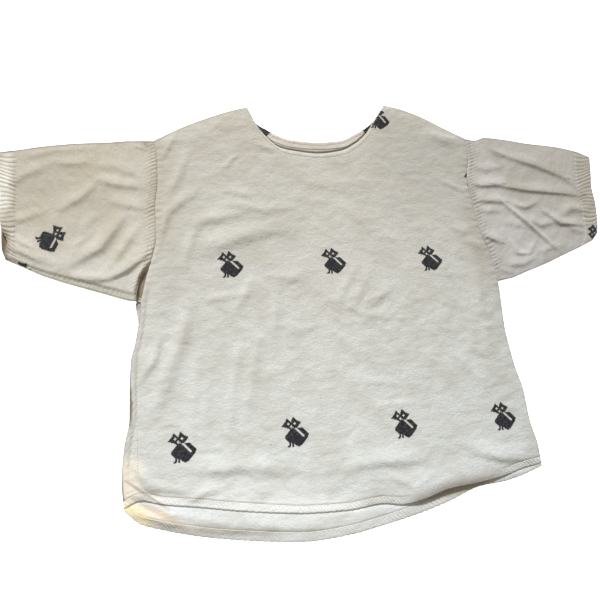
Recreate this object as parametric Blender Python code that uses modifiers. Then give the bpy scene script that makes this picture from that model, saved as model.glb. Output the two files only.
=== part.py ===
"""Shell top laid flat, front upward: boxy cotton top with wide elbow sleeves and a scooped neck.

Plan sizes are in millimetres while the cloth is laid out: x across the chest, y from hem to neck,
z up from the surface that it lies on. The finished pieces are in metres, about the middle of the plan.
"""
import bpy
import numpy as np

MM = 0.001
CLOTH = 1.1            # thickness of a cloth wall
SEAM_GAP = 0.35        # space left between two pieces that are sewn together
SEAM_LEVEL = 2.75      # top of the front where it is sewn to the back
BODY_RISE = 2.3        # how much higher the loose front lies than its seams
NECK_LIFT = 1.8        # the front's neck edge lies this much above its seams, over the facing
RISE_REACH = 16.0      # distance over which cloth rises from a seam
FOLD_RADIUS = 1.95     # outer radius of the folded edges of a sleeve
SLEEVE_RISE = 1.5      # how much higher the loose sleeve lies than its folded edges
FACING_WIDTH = 12.5
HEM_DEPTH = 8.0        # stitch line of the body hem above the cut edge
CUFF_DEPTH = 25.0      # stitch line of a sleeve hem from the cuff edge
PUCKER = 0.75          # half height of the small gathers at a stitched line

HEM_COLUMNS = ("x", "front_y", "back_y", "roll")
HEM = (
    (-300, -276, -279, 1.0),
    (-279, -268, -297, 1.5),
    (-250, -275, -307, 0.8),
    (-200, -283, -320, 0.8),
    (-150, -292, -329, 0.6),
    (-100, -299, -336, 0.6),
    (-50, -304, -340, 1.0),
    (0, -305, -337, 1.6),
    (50, -301, -329, 2.4),
    (82, -305, -323, 4.2),
    (110, -301, -317, 5.2),
    (150, -290, -306, 5.0),
    (200, -285, -290, 4.4),
    (235, -280, -287, 3.0),
    (265, -272, -281, 1.8),
    (300, -266, -270, 1.0),
)
SIDE_COLUMNS = ("y", "left_x", "right_x")
SIDE = (
    (-280, -299.5, 300),
    (-240, -303, 298),
    (-200, -300, 291),
    (-160, -293, 289),
    (-120, -293, 281),
    (-80, -291, 276),
    (-60, -286, 274.5),
    (-30, -280, 275),
    (0, -276, 276),
)
ARMHOLE_COLUMNS = ("y", "left_x", "right_x")
ARMHOLE = (
    (0, -276, 276),
    (35, -268, 273),
    (63, -262.5, 268),
    (100, -256, 258),
    (146, -257, 252.5),
    (190, -253, 249.5),
    (235, -254, 257),
    (270, -263, 255.5),
)
UNDERARM_COLUMNS = ("y", "left_x")
UNDERARM = (
    (0, -284),
    (14, -282.5),
    (34, -280),
    (50, -272),
    (63, -262.5),
)
SHOULDER_COLUMNS = ("x", "left_y", "right_y")
SHOULDER = (
    (112, 320, 329),
    (140, 312.5, 323),
    (180, 298, 308),
    (220, 280.5, 286),
    (262, 257.5, 264),
)
NECK_COLUMNS = ("x", "front_y", "back_y")
NECK = (
    (-112, 320, 320),
    (-106, 306, 305),
    (-98, 287.5, 292),
    (-85, 269, 281.5),
    (-62, 248, 268),
    (-40, 242.2, 260.5),
    (0, 237.6, 257),
    (38, 243, 260.2),
    (62, 255.5, 271),
    (81, 272, 282.5),
    (95, 291, 294.5),
    (108, 311, 311.5),
    (119, 328, 328.5),
)
SLEEVE_COLUMNS = ("along", "left_lower_y", "left_upper_y", "right_lower_y", "right_upper_y")
SLEEVE_EDGE = (
    (0.0, 2, 258, 14, 266),
    (0.08, 4.5, 258.4, 16.5, 262.6),
    (0.16, 9, 258.2, 19.5, 268),
    (0.30, 18, 255.8, 28.5, 265),
    (0.50, 30.5, 254, 41, 257.5),
    (0.72, 46, 249.5, 57, 251.5),
    (0.88, 61, 244, 68.5, 243.5),
    (1.0, 72, 240, 78, 232),
)
CUFF_COLUMNS = ("across", "left_x", "right_x")
CUFF = (
    (0.0, -464, 454),
    (0.10, -470, 466.5),
    (0.25, -472, 471),
    (0.45, -474, 473.5),
    (0.60, -475, 472.5),
    (0.80, -478, 477),
    (1.0, -480, 481.5),
)
FOLD_COLUMNS = ("x1", "y1", "x2", "y2", "x3", "y3", "height", "half_width")
FRONT_FOLDS = (
    (-246, 160, -222, 128, -190, 96, 1.9, 13),
    (-197, 78, -140, 93, -79, 111, -1.3, 12),
    (-190, 104, -140, 118, -84, 138, 1.4, 14),
    (-214, -250, -208, -170, -200, -80, 1.3, 13),
    (-165, -240, -160, -150, -150, -60, 1.0, 12),
    (-20, -235, -10, -130, -6, -30, 1.0, 16),
    (20, -8, 44, 20, 62, 54, -1.2, 12),
    (40, -138, 66, -136, 95, -133, 1.2, 12),
    (165, 118, 188, 62, 200, 15, 1.8, 14),
    (246, 92, 244, 69, 250, 40, -1.4, 12),
    (226, 110, 222, 70, 226, 30, 1.6, 14),
    (-70, 200, -110, 150, -170, 120, 1.2, 18),
    (90, 210, 130, 160, 165, 118, 1.3, 18),
    (200, -251, 235, -258, 275, -264, 1.8, 12),
    (-282, -248, -270, -258, -261, -267, 1.6, 10),
)
LEFT_FOLDS = (
    (-375, 54, -330, 105, -304, 155, -1.4, 11),
    (-392, 66, -350, 118, -326, 168, 2.0, 13),
    (-344, 193, -300, 184, -264, 174, 1.9, 12),
    (-357, 155, -332, 160, -306, 163, -1.2, 10),
    (-321, 44, -299, 56, -268, 84, -1.5, 10),
    (-330, 62, -306, 78, -276, 108, 1.8, 12),
    (-466, 204, -440, 209, -415, 213, 1.5, 10),
    (-453, 94, -434, 79, -417, 70, 1.5, 10),
    (-375, 119, -352, 138, -330, 156, 1.4, 11),
)
RIGHT_FOLDS = (
    (262, 180, 340, 172, 440, 157, -1.6, 10),
    (268, 198, 345, 190, 436, 172, 2.4, 13),
    (300, 244, 370, 214, 440, 172, 1.6, 13),
    (296, 157, 338, 112, 388, 62, 2.4, 13),
    (278, 132, 310, 96, 352, 62, -1.2, 11),
    (376, 127, 404, 108, 441, 108, 2.0, 11),
    (412, 124, 426, 131, 446, 133, -1.4, 10),
    (278, 32, 305, 30, 338, 44, 1.3, 10),
)

FRONT_COLUMNS = 36
FRONT_HEM_POINTS = 120
BACK_COLUMNS = 24
BODY_ROWS = (11, 20)     # rows of the grid below and above the underarm
SLEEVE_ACROSS = 16
SLEEVE_UNDER = 12
SLEEVE_BAYS = 9
ARMHOLE_PUCKERS = (22, 24)
CUFF_PUCKERS = 20


def column(table, columns, name):
    return np.array([row[columns.index(name)] for row in table], float)


def curve(at, stations, values):
    """Smooth line through a short table that does not swing past its rows."""
    stations = np.asarray(stations, float)
    values = np.asarray(values, float)
    step = np.diff(stations)
    rise = np.diff(values) / step
    slope = np.concatenate(([rise[0]], np.zeros(len(values) - 2), [rise[-1]]))
    same = rise[:-1] * rise[1:] > 0
    middle = np.zeros(len(values) - 2)
    middle[same] = 2 * rise[:-1][same] * rise[1:][same] / (rise[:-1] + rise[1:])[same]
    slope[1:-1] = middle
    at = np.clip(np.asarray(at, float), stations[0], stations[-1])
    bay = np.clip(np.searchsorted(stations, at, side="right") - 1, 0, len(step) - 1)
    t = (at - stations[bay]) / step[bay]
    start = (1 + 2 * t) * (1 - t) ** 2 * values[bay] + t * (1 - t) ** 2 * step[bay] * slope[bay]
    end = t * t * (3 - 2 * t) * values[bay + 1] + t * t * (t - 1) * step[bay] * slope[bay + 1]
    return start + end


def read(table, columns, key, name, at):
    return curve(at, column(table, columns, key), column(table, columns, name))


def neck_edge(share, name):
    """Points along a neck edge, spaced evenly by its own length."""
    x = np.linspace(NECK[0][0], NECK[-1][0], 241)
    y = read(NECK, NECK_COLUMNS, "x", name, x)
    length = np.concatenate(([0], np.cumsum(np.hypot(np.diff(x), np.diff(y)))))
    at = np.asarray(share, float) * length[-1]
    return np.stack([np.interp(at, length, x), np.interp(at, length, y)], -1)


def top_edge(share, name):
    """Left shoulder, neck edge and right shoulder as one line, share 0 to 1."""
    share = np.asarray(share, float)
    neck_from, neck_to = 0.28, 0.72
    left_corner, right_corner = -261.5, 256.0
    x_left = left_corner + (NECK[0][0] - left_corner) * np.clip(share / neck_from, 0, 1)
    x_right = NECK[-1][0] + (right_corner - NECK[-1][0]) * np.clip((share - neck_to) / (1 - neck_to), 0, 1)
    left = np.stack([x_left, read(SHOULDER, SHOULDER_COLUMNS, "x", "left_y", -x_left)], -1)
    right = np.stack([x_right, read(SHOULDER, SHOULDER_COLUMNS, "x", "right_y", x_right)], -1)
    neck = neck_edge(np.clip((share - neck_from) / (neck_to - neck_from), 0, 1), name)
    line = np.where((share < neck_from)[..., None], left, neck)
    return np.where((share > neck_to)[..., None], right, line)


def hem_edge(share, name):
    x = HEM[0][0] + (HEM[-1][0] - HEM[0][0]) * np.asarray(share, float)
    return np.stack([x, read(HEM, HEM_COLUMNS, "x", name, x)], -1)


def side_edge(share, name, hem_y, top_y, underarm=None):
    """Side seam and then armhole seam, from the hem corner to the shoulder corner."""
    y = hem_y + (top_y - hem_y) * np.asarray(share, float)
    x = np.where(y < 0, read(SIDE, SIDE_COLUMNS, "y", name, y), read(ARMHOLE, ARMHOLE_COLUMNS, "y", name, y))
    if underarm:
        low = read(UNDERARM, UNDERARM_COLUMNS, "y", "left_x", y)
        wider = (UNDERARM[0][1] - ARMHOLE[0][1]) * np.interp(y, (-30, 0), (0, 1))
        x = np.where((y > 0) & (y < UNDERARM[-1][0]), low, np.where(y < 63, x + wider, x))
    return np.stack([x, y], -1)


def blend(across, along, lower, upper, left, right):
    """Sheet of points between four edges: each edge is a function of a share from 0 to 1."""
    a = np.asarray(across, float)[..., None]
    b = np.asarray(along, float)[..., None]
    ends = np.array([0.0, 1.0])
    low_ends, high_ends = lower(ends), upper(ends)
    rows = (1 - b) * lower(across) + b * upper(across)
    columns = (1 - a) * left(along) + a * right(along)
    corners = (1 - b) * ((1 - a) * low_ends[0] + a * low_ends[1]) + b * ((1 - a) * high_ends[0] + a * high_ends[1])
    return rows + columns - corners


def fold_lift(xy, folds):
    """Height that the laid folds add at each plan point."""
    total = np.zeros(len(xy))
    for fold in folds:
        row = dict(zip(FOLD_COLUMNS, fold))
        p = [np.array([row["x%d" % i], row["y%d" % i]], float) for i in (1, 2, 3)]
        nearest = np.full(len(xy), 1e9)
        where = np.zeros(len(xy))
        for bay, (start, end) in enumerate(((p[0], p[1]), (p[1], p[2]))):
            run = end - start
            t = np.clip((xy - start) @ run / (run @ run), 0, 1)
            gap = np.linalg.norm(xy - start - t[:, None] * run, axis=1)
            where = np.where(gap < nearest, (bay + t) / 2, where)
            nearest = np.minimum(gap, nearest)
        taper = np.sin(np.pi * np.clip(where * 0.84 + 0.08, 0, 1)) ** 0.6
        total += row["height"] * taper * np.exp(-(nearest / row["half_width"]) ** 2)
    return total


def body_rows(start, end):
    """Shares of the body's height, closer together beside the armholes, where the edges curve."""
    underarm = 0.515
    below = np.linspace(start, underarm, BODY_ROWS[0])
    above = np.linspace(underarm, end, BODY_ROWS[1] + 1)[1:]
    return list(below) + list(above)


def rise(distance):
    return 1 - np.exp(-np.maximum(distance, 0) / RISE_REACH)


def zip_rows(a, b, share_a, share_b):
    """Faces between two rows of points: squares where the rows match, triangles elsewhere."""
    if len(a) == len(b):
        return [(a[i], a[i + 1], b[i + 1], b[i]) for i in range(len(a) - 1)]
    faces = []
    i = j = 0
    while i < len(a) - 1 or j < len(b) - 1:
        next_a = share_a[i + 1] if i < len(a) - 1 else 2.0
        next_b = share_b[j + 1] if j < len(b) - 1 else 2.0
        if next_a <= next_b:
            faces.append((a[i], a[i + 1], b[j]))
            i += 1
        else:
            faces.append((a[i], b[j + 1], b[j]))
            j += 1
    return faces


def sew(name, points, faces, thickness, tint, roughness):
    """Closed wall of cloth from one sheet of points."""
    mesh = bpy.data.meshes.new(name)
    mesh.from_pydata([tuple(p * MM) for p in points], [], faces)
    mesh.validate()
    piece = bpy.data.objects.new(name, mesh)
    garment.objects.link(piece)
    material = bpy.data.materials.new(name + "_cloth")
    material.use_nodes = True
    shader = material.node_tree.nodes["Principled BSDF"]
    shader.inputs["Base Color"].default_value = (*tint, 1)
    shader.inputs["Roughness"].default_value = roughness
    shader.inputs["Metallic"].default_value = 0
    mesh.materials.append(material)
    wall = piece.modifiers.new("wall", "SOLIDIFY")
    wall.thickness = thickness * MM
    wall.offset = -1
    wall.use_even_offset = True
    bpy.context.view_layer.objects.active = piece
    bpy.ops.object.modifier_apply(modifier=wall.name)
    return piece


def make_front():
    width, height = 555.0, 560.0
    wide = FRONT_COLUMNS
    stitch = HEM_DEPTH / height
    low_rows = [0.0, stitch, 2.5 * stitch]
    rows = low_rows + body_rows(4.6 * stitch, 1 - 0.018) + [1.0]
    points, ids, shares = [], [], []
    for i, v in enumerate(rows):
        count = FRONT_HEM_POINTS if i < len(low_rows) else wide
        u = np.linspace(0, 1, count + 1)
        along = np.full(count + 1, v)
        xy = blend(u, along,
                   lambda s: hem_edge(s, "front_y"), lambda s: top_edge(s, "front_y"),
                   lambda s: side_edge(s, "left_x", -276, 257.5), lambda s: side_edge(s, "right_x", -266, 266))
        from_side = np.minimum(u, 1 - u) * width
        from_hem = v * height
        from_top = (1 - v) * height
        over_neck = np.clip((0.245 - np.abs(u - 0.5)) / 0.04, 0, 1)
        roll = read(HEM, HEM_COLUMNS, "x", "roll", xy[:, 0])
        if from_hem < HEM_DEPTH:
            ridge = from_hem / HEM_DEPTH
        else:
            ridge = np.exp(-((from_hem - HEM_DEPTH) / 24.0) ** 2)
        z = SEAM_LEVEL + BODY_RISE * rise(from_side) * rise(from_top) * rise(from_hem + 5)
        z = z + NECK_LIFT * over_neck * np.exp(-from_top / 40.0)
        z = z + (roll * ridge + 0.4 * (from_hem < 30)) * rise(from_side)
        z = z + fold_lift(xy, FRONT_FOLDS) * rise(from_side) * rise(from_top) * rise(from_hem)
        if i < len(low_rows):
            z = z + PUCKER * (0.35, 1.0, 0.5)[i] * np.where(np.arange(count + 1) % 2, 1, -1) * rise(from_side)
        ids.append(list(range(len(points), len(points) + count + 1)))
        shares.append(u)
        points += list(np.column_stack([xy, z]))
    faces = []
    for i in range(len(rows) - 1):
        faces += zip_rows(ids[i], ids[i + 1], shares[i], shares[i + 1])
    return sew("front", points, faces, CLOTH, (0.63, 0.60, 0.53), 0.9)


def make_back():
    wide = BACK_COLUMNS
    rows = body_rows(0, 1)
    u, v = np.meshgrid(np.linspace(0, 1, wide + 1), rows)
    xy = blend(u.ravel(), v.ravel(),
               lambda s: hem_edge(s, "back_y"), lambda s: top_edge(s, "back_y"),
               lambda s: side_edge(s, "left_x", -279, 257.5, underarm=True),
               lambda s: side_edge(s, "right_x", -270, 266))
    points = list(np.column_stack([xy, np.zeros(len(xy))]))
    faces = []
    for j in range(len(rows) - 1):
        for i in range(wide):
            a = j * (wide + 1) + i
            faces.append((a, a + wide + 1, a + wide + 2, a + 1))
    return sew("back", points, faces, CLOTH, (0.60, 0.57, 0.50), 0.9)


def make_facing():
    count = 34
    share = np.linspace(0.06, 0.94, count + 1)
    edge = neck_edge(share, "back_y")
    run = np.gradient(edge, axis=0)
    down = np.column_stack([run[:, 1], -run[:, 0]]) / np.linalg.norm(run, axis=1)[:, None]
    level = CLOTH + SEAM_GAP + CLOTH
    points, faces = [], []
    for depth in (0.4, FACING_WIDTH / 2, FACING_WIDTH):
        points += list(np.column_stack([edge + down * depth, np.full(count + 1, level)]))
    for row in range(2):
        for i in range(count):
            a = row * (count + 1) + i
            faces.append((a, a + count + 1, a + count + 2, a + 1))
    return sew("neck_facing", points, faces, CLOTH, (0.57, 0.53, 0.46), 0.9)


def make_sleeve(name, side, folds, puckers):
    """Flattened tube: an upper wall and a flat under wall that share the two folded edges."""
    sign = -1 if side == "left" else 1
    seam_x, edge_low, edge_high = side + "_x", side + "_lower_y", side + "_upper_y"
    low_y, high_y = SLEEVE_EDGE[0][SLEEVE_COLUMNS.index(edge_low)], SLEEVE_EDGE[0][SLEEVE_COLUMNS.index(edge_high)]

    def armhole(t):
        y = low_y + (high_y - low_y) * np.asarray(t, float)
        x = read(ARMHOLE, ARMHOLE_COLUMNS, "y", seam_x, y)
        if side == "left":
            x = np.where(y < 63, read(UNDERARM, UNDERARM_COLUMNS, "y", "left_x", y), x)
        return np.stack([x + sign * SEAM_GAP, y], -1)

    def cuff(t):
        y_low, y_high = SLEEVE_EDGE[-1][SLEEVE_COLUMNS.index(edge_low)], SLEEVE_EDGE[-1][SLEEVE_COLUMNS.index(edge_high)]
        y = y_low + (y_high - y_low) * np.asarray(t, float)
        return np.stack([read(CUFF, CUFF_COLUMNS, "across", seam_x, t), y], -1)

    def edge(s, which):
        end = int(which == edge_high)
        start_x, stop_x = armhole(np.array([end]))[0][0], cuff(np.array([end]))[0][0]
        x = start_x + (stop_x - start_x) * np.asarray(s, float)
        return np.stack([x, read(SLEEVE_EDGE, SLEEVE_COLUMNS, "along", which, s)], -1)

    length = abs(cuff(np.array([0.5]))[0][0] - armhole(np.array([0.5]))[0][0])
    stations = [0.0, 5.0, 12.0]
    stations += list(np.linspace(24, length - CUFF_DEPTH - 15, SLEEVE_BAYS))
    stations += [length - CUFF_DEPTH, length - CUFF_DEPTH / 2, length]
    dense_armhole, dense_cuff = (0.5, 1.0, 0.5), (0.8, 1.0, 0.35)
    points, upper_rows, under_rows, upper_shares, under_shares = [], [], [], [], []
    for i, station in enumerate(stations):
        s = station / length
        width = (edge(np.array([s]), edge_high) - edge(np.array([s]), edge_low))[0][1]
        rim = np.array([0.0, 0.3 * FOLD_RADIUS, FOLD_RADIUS]) / width
        if i < 3:
            count, strength = 2 * puckers, dense_armhole[i]
        elif i >= len(stations) - 3:
            count, strength = 2 * CUFF_PUCKERS, dense_cuff[i - len(stations) + 3]
        else:
            count, strength = SLEEVE_ACROSS, 0.0
        inside = np.linspace(0, 1, count + 1)[1:-1]
        t = np.concatenate([rim, inside, 1 - rim[::-1]])
        xy = blend(t, np.full(len(t), s), armhole, cuff, lambda k: edge(k, edge_low), lambda k: edge(k, edge_high))
        if side == "left":
            drawn_in = 8.0 * np.exp(-((t - 0.12) / 0.09) ** 2) * np.clip((s - 0.9) / 0.1, 0, 1)
            xy[:, 0] += drawn_in * (t > 0)
        inset = np.minimum(t, 1 - t) * width
        corner = np.sqrt(np.clip(FOLD_RADIUS ** 2 - np.clip(FOLD_RADIUS - inset, 0, None) ** 2, 0, None))
        z = FOLD_RADIUS + corner
        loose = rise(inset - FOLD_RADIUS)
        z = z + SLEEVE_RISE * loose * (0.4 + 0.6 * np.sin(np.pi * min(max(s, 0.08), 0.92)))
        z = z + fold_lift(xy, folds) * loose * rise(station) * rise(length - station + 6)
        sway = np.zeros(len(t))
        sway[len(rim):len(rim) + len(inside)] = np.where(np.arange(len(inside)) % 2, -1, 1)
        z = z + PUCKER * strength * sway
        upper = list(range(len(points), len(points) + len(t)))
        points += list(np.column_stack([xy, z]))
        under_count = 2 * puckers if i == 0 else SLEEVE_UNDER
        t_under = np.concatenate([rim[1:], np.linspace(0, 1, under_count + 1)[1:-1], 1 - rim[:0:-1]])
        xy = blend(t_under, np.full(len(t_under), s), armhole, cuff,
                   lambda k: edge(k, edge_low), lambda k: edge(k, edge_high))
        inset = np.minimum(t_under, 1 - t_under) * width
        corner = np.sqrt(np.clip(FOLD_RADIUS ** 2 - np.clip(FOLD_RADIUS - inset, 0, None) ** 2, 0, None))
        under = [upper[0]] + list(range(len(points), len(points) + len(t_under))) + [upper[-1]]
        points += list(np.column_stack([xy, FOLD_RADIUS - corner]))
        upper_rows.append(upper)
        under_rows.append(under)
        upper_shares.append(t)
        under_shares.append(np.concatenate([[0.0], t_under, [1.0]]))
    faces = []
    for i in range(len(stations) - 1):
        top = zip_rows(upper_rows[i], upper_rows[i + 1], upper_shares[i], upper_shares[i + 1])
        bottom = zip_rows(under_rows[i], under_rows[i + 1], under_shares[i], under_shares[i + 1])
        if side == "left":
            faces += [face[::-1] for face in top] + bottom
        else:
            faces += top + [face[::-1] for face in bottom]
    return sew(name, points, [face[::-1] for face in faces], CLOTH, (0.62, 0.59, 0.52), 0.9)


def centre_on_origin(pieces):
    corners = np.array([v.co[:] for piece in pieces for v in piece.data.vertices])
    low, high = corners.min(0), corners.max(0)
    shift = np.array([(low[0] + high[0]) / 2, (low[1] + high[1]) / 2, low[2]])
    for piece in pieces:
        for v in piece.data.vertices:
            v.co = [v.co[axis] - shift[axis] for axis in range(3)]
    print("plan middle", [round(float(value), 6) for value in shift])
    print("size", [round(float(value), 5) for value in high - low])


for old in list(bpy.data.objects):
    bpy.data.objects.remove(old)
garment = bpy.data.collections.new("shell_top")
bpy.context.scene.collection.children.link(garment)

pieces = [
    make_front(),
    make_back(),
    make_facing(),
    make_sleeve("sleeve_left", "left", LEFT_FOLDS, ARMHOLE_PUCKERS[0]),
    make_sleeve("sleeve_right", "right", RIGHT_FOLDS, ARMHOLE_PUCKERS[1]),
]
centre_on_origin(pieces)
for piece in pieces:
    triangles = sum(len(face.vertices) - 2 for face in piece.data.polygons)
    print(piece.name, "triangles", triangles)
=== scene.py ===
# %% [markdown]
# # A cotton top laid flat
# The top lies on a table with its front upward. The measured solids come in first, and each main piece of
# cloth below hides the solid that stands for it.

import bpy
import re
import numpy as np
from mathutils import Matrix, Vector
from mathutils.bvhtree import BVHTree


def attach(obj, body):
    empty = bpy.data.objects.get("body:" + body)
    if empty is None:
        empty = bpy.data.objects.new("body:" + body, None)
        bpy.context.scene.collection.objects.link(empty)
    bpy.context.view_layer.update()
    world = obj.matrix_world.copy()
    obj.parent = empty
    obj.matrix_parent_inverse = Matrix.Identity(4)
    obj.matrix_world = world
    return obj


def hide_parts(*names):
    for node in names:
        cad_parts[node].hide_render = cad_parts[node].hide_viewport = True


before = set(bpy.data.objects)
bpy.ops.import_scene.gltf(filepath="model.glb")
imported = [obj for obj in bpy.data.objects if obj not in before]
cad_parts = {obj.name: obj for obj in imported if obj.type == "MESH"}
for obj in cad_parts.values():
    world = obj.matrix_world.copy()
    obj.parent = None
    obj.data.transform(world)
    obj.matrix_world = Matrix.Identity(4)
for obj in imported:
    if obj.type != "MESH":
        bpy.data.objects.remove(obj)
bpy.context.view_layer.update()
print("nodes", sorted(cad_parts))

# %% [markdown]
# ## The camera
# The picture was taken by someone who stood at the hem, a little to the left, and held the camera
# almost straight above the top. The camera is placed first, so that all else can be judged through it.

# %% Camera above the hem
MM = 0.001
# The tables below are drawn round a point on the chest. This is the part's own origin, seen from there.
MIDDLE = np.array([0.75, -6.72])
camera_data = bpy.data.cameras.new("camera_above_hem")
camera_data.lens = 30.594
camera_data.sensor_width = 36
camera = bpy.data.objects.new("camera_above_hem", camera_data)
bpy.context.scene.collection.objects.link(camera)
right, up, back = (0.98899, -0.06931, 0.13073), (0.03864, 0.97383, 0.22396), (-0.14284, -0.21644, 0.96579)
turned = Matrix((right, up, back)).transposed().to_4x4()
camera.matrix_world = Matrix.Translation((-0.15635, -0.16322, 0.74269)) @ turned
bpy.context.scene.camera = camera
bpy.context.scene.view_settings.view_transform = "Standard"
print("camera looks down at", round(float(np.degrees(np.arcsin(back[2]))), 1), "degrees")

# %% [markdown]
# ## Table and light
# The table is a wide pale plane a little under the cloth.

# %% Pale table
bpy.ops.object.select_all(action="DESELECT")
bpy.ops.mesh.primitive_plane_add(size=80, location=(0, 0, -0.0003))
table = bpy.context.object
table.name = "pale_table"
paint = bpy.data.materials.new("white_table_paint")
paint.use_nodes = True
for socket, value in (("Base Color", (0.95, 0.95, 0.95, 1)), ("Roughness", 0.95),
                      ("Emission Color", (1, 1, 1, 1)), ("Emission Strength", 0.85)):
    paint.node_tree.nodes["Principled BSDF"].inputs[socket].default_value = value
table.data.materials.append(paint)

# %% [markdown]
# The daylight comes from beyond the neck. A low sun with a wide disc gives each crease a light side and
# a shaded side. A lamp above the hem, a weak warm fill from the viewer's side and the sky fill the shade.

# %% Sun, lamps and sky
def add_light(name, kind, energy, colour, size, place=(0, 0, 0), aim=None):
    """A light that shines along aim, or straight down. size is an angle for a sun."""
    data = bpy.data.lights.new(name, kind)
    data.energy = energy
    data.color = colour
    setattr(data, "angle" if kind == "SUN" else "size", size)
    light = bpy.data.objects.new(name, data)
    bpy.context.scene.collection.objects.link(light)
    light.location = place
    if aim:
        light.rotation_euler = Vector(aim).to_track_quat("-Z", "Y").to_euler()
    print(name, energy)


add_light("low_sun", "SUN", 5.4, (0.97, 1.0, 1.03), 0.13, aim=(0.20, -1.0, -0.52))
add_light("soft_lamp_above_hem", "AREA", 0.9, (0.93, 0.97, 1.0), 0.45, (-0.20, -0.25, 0.70))
add_light("warm_low_fill", "AREA", 3.5, (1.0, 0.88, 0.74), 1.2, (-0.25, -1.35, 0.30), (0.25, 1.35, -0.30))
sky = bpy.data.worlds.new("pale_sky")
sky.use_nodes = True
sky.node_tree.nodes["Background"].inputs["Color"].default_value = (1.0, 0.94, 0.83, 1)
sky.node_tree.nodes["Background"].inputs["Strength"].default_value = 0.24
bpy.context.scene.world = sky

# %% [markdown]
# ## Edges of the cut pieces
# A maker marks a few stations along each edge and draws a smooth line through them. The tables below
# hold those stations in millimetres, x across the chest and y towards the neck.

# %% Stations along the edges
HEM_X = (-300, -279, -250, -200, -150, -100, -50, 0, 50, 82, 110, 150, 200, 235, 265, 300)
FRONT_HEM = (-276, -268, -275, -283, -292, -299, -304, -305, -301, -305, -301, -290, -285, -280, -272, -266)
BACK_HEM = (-279, -297, -307, -320, -329, -336, -340, -337, -329, -323, -317, -306, -290, -287, -281, -270)
FRONT_ROLL = (0.0, 0.3, 0.1, 0.0, 0.0, 0.0, 0.0, 0.0, 0.1, 0.9, 3.5, 3.9, 3.4, 1.3, 0.2, 0.1)
FRONT_TURN = (0, 0, 0, 0, 0, 0, 0, 0, 0, 0.3, 1.0, 1.0, 1.0, 0.4, 0, 0)
SIDE_Y = (-280, -240, -200, -160, -120, -80, -60, -30, 0)
LEFT_SIDE = (-299.5, -303, -300, -293, -293, -291, -286, -281, -278)
RIGHT_SIDE = (300, 298, 291, 289, 281, 276, 274.5, 275, 276)
ARMHOLE_Y = (0, 35, 63, 100, 146, 190, 235, 270)
LEFT_ARMHOLE = (-278, -270.5, -263, -256, -257, -253, -254, -263)
RIGHT_ARMHOLE = (276, 273, 268, 258, 252.5, 249.5, 257, 255.5)
UNDERARM_Y = (0, 14, 34, 50, 63)
LEFT_UNDERARM = (-284, -282.5, -280, -272, -262.5)
SHOULDER_X = (112, 140, 180, 220, 262)
LEFT_SHOULDER = (320, 312.5, 298, 280.5, 257.5)
RIGHT_SHOULDER = (329, 323, 308, 286, 264)
NECK_X = (-112, -106, -98, -85, -62, -40, 0, 38, 62, 81, 95, 108, 119)
FRONT_NECK = (320, 306, 287.5, 269, 248, 242.2, 237.6, 243, 255.5, 272, 291, 311, 328)
BACK_NECK = (320, 305, 292, 281.5, 268, 260.5, 257, 260.2, 271, 282.5, 294.5, 311.5, 328.5)
SLEEVE_ALONG = (0.0, 0.08, 0.16, 0.30, 0.50, 0.72, 0.88, 1.0)
SLEEVE_LOWER = {"left": (2, 4.5, 9, 18, 30.5, 46, 61, 72), "right": (14, 16.5, 19.5, 28.5, 41, 57, 68.5, 78)}
SLEEVE_UPPER = {
    "left": (258, 258.2, 258, 255.5, 253.4, 248.5, 242.5, 238.5),
    "right": (266, 262.6, 268, 265, 257.5, 251.5, 243.5, 232),
}
CUFF_ACROSS = (0.0, 0.10, 0.25, 0.45, 0.60, 0.80, 1.0)
CUFF_X = {
    "left": (-464, -470, -472, -474, -475, -478, -480),
    "right": (454, 466.5, 471, 473.5, 472.5, 477, 481.5),
}
print("hem", HEM_X[0], "to", HEM_X[-1], "mm")

# %% [markdown]
# A maker joins the stations with a flexible ruler. A plain spline could swing past a station, and the
# seam would bulge there, so the slope is held back wherever the line turns.

# %% Smooth line through the stations
def share_of(value):
    """Keeps a value between 0 and 1."""
    return np.clip(value, 0, 1)


def curve(at, stations, values):
    """Reads a smooth line that does not swing past its stations."""
    stations = np.asarray(stations, float)
    values = np.asarray(values, float)
    step = np.diff(stations)
    grade = np.diff(values) / step
    slope = np.zeros(len(values))
    slope[0], slope[-1] = grade[0], grade[-1]
    for i in range(1, len(values) - 1):
        if grade[i - 1] * grade[i] > 0:
            slope[i] = 2 * grade[i - 1] * grade[i] / (grade[i - 1] + grade[i])
    at = np.clip(np.asarray(at, float), stations[0], stations[-1])
    bay = np.clip(np.searchsorted(stations, at, side="right") - 1, 0, len(step) - 1)
    t = (at - stations[bay]) / step[bay]
    start = (1 + 2 * t) * (1 - t) ** 2 * values[bay] + t * (1 - t) ** 2 * step[bay] * slope[bay]
    end = t * t * (3 - 2 * t) * values[bay + 1] + t * t * (t - 1) * step[bay] * slope[bay + 1]
    return start + end


print("hem of the front at the middle", float(curve(0, HEM_X, FRONT_HEM)), "mm")

# %% [markdown]
# Each edge of a cut piece is read by a share of its length, from 0 to 1. The hem runs from seam to seam.
# The top edge joins shoulder, neck and shoulder, and is sampled evenly, so no point bunches at the neck.

# %% Hem and top edge
SHOULDER_SHARE, NECK_SHARE, NECK_END = 0.28, 0.44, 0.72


def hem_edge(share, hem):
    x = -300 + 600 * share
    return np.stack([x, curve(x, HEM_X, hem)], -1)


def neck_edge(share, neck):
    x = np.linspace(NECK_X[0], NECK_X[-1], 481)
    y = curve(x, NECK_X, neck)
    length = np.concatenate(([0], np.cumsum(np.hypot(np.diff(x), np.diff(y)))))
    at = share * length[-1]
    return np.stack([np.interp(at, length, x), np.interp(at, length, y)], -1)


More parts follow.
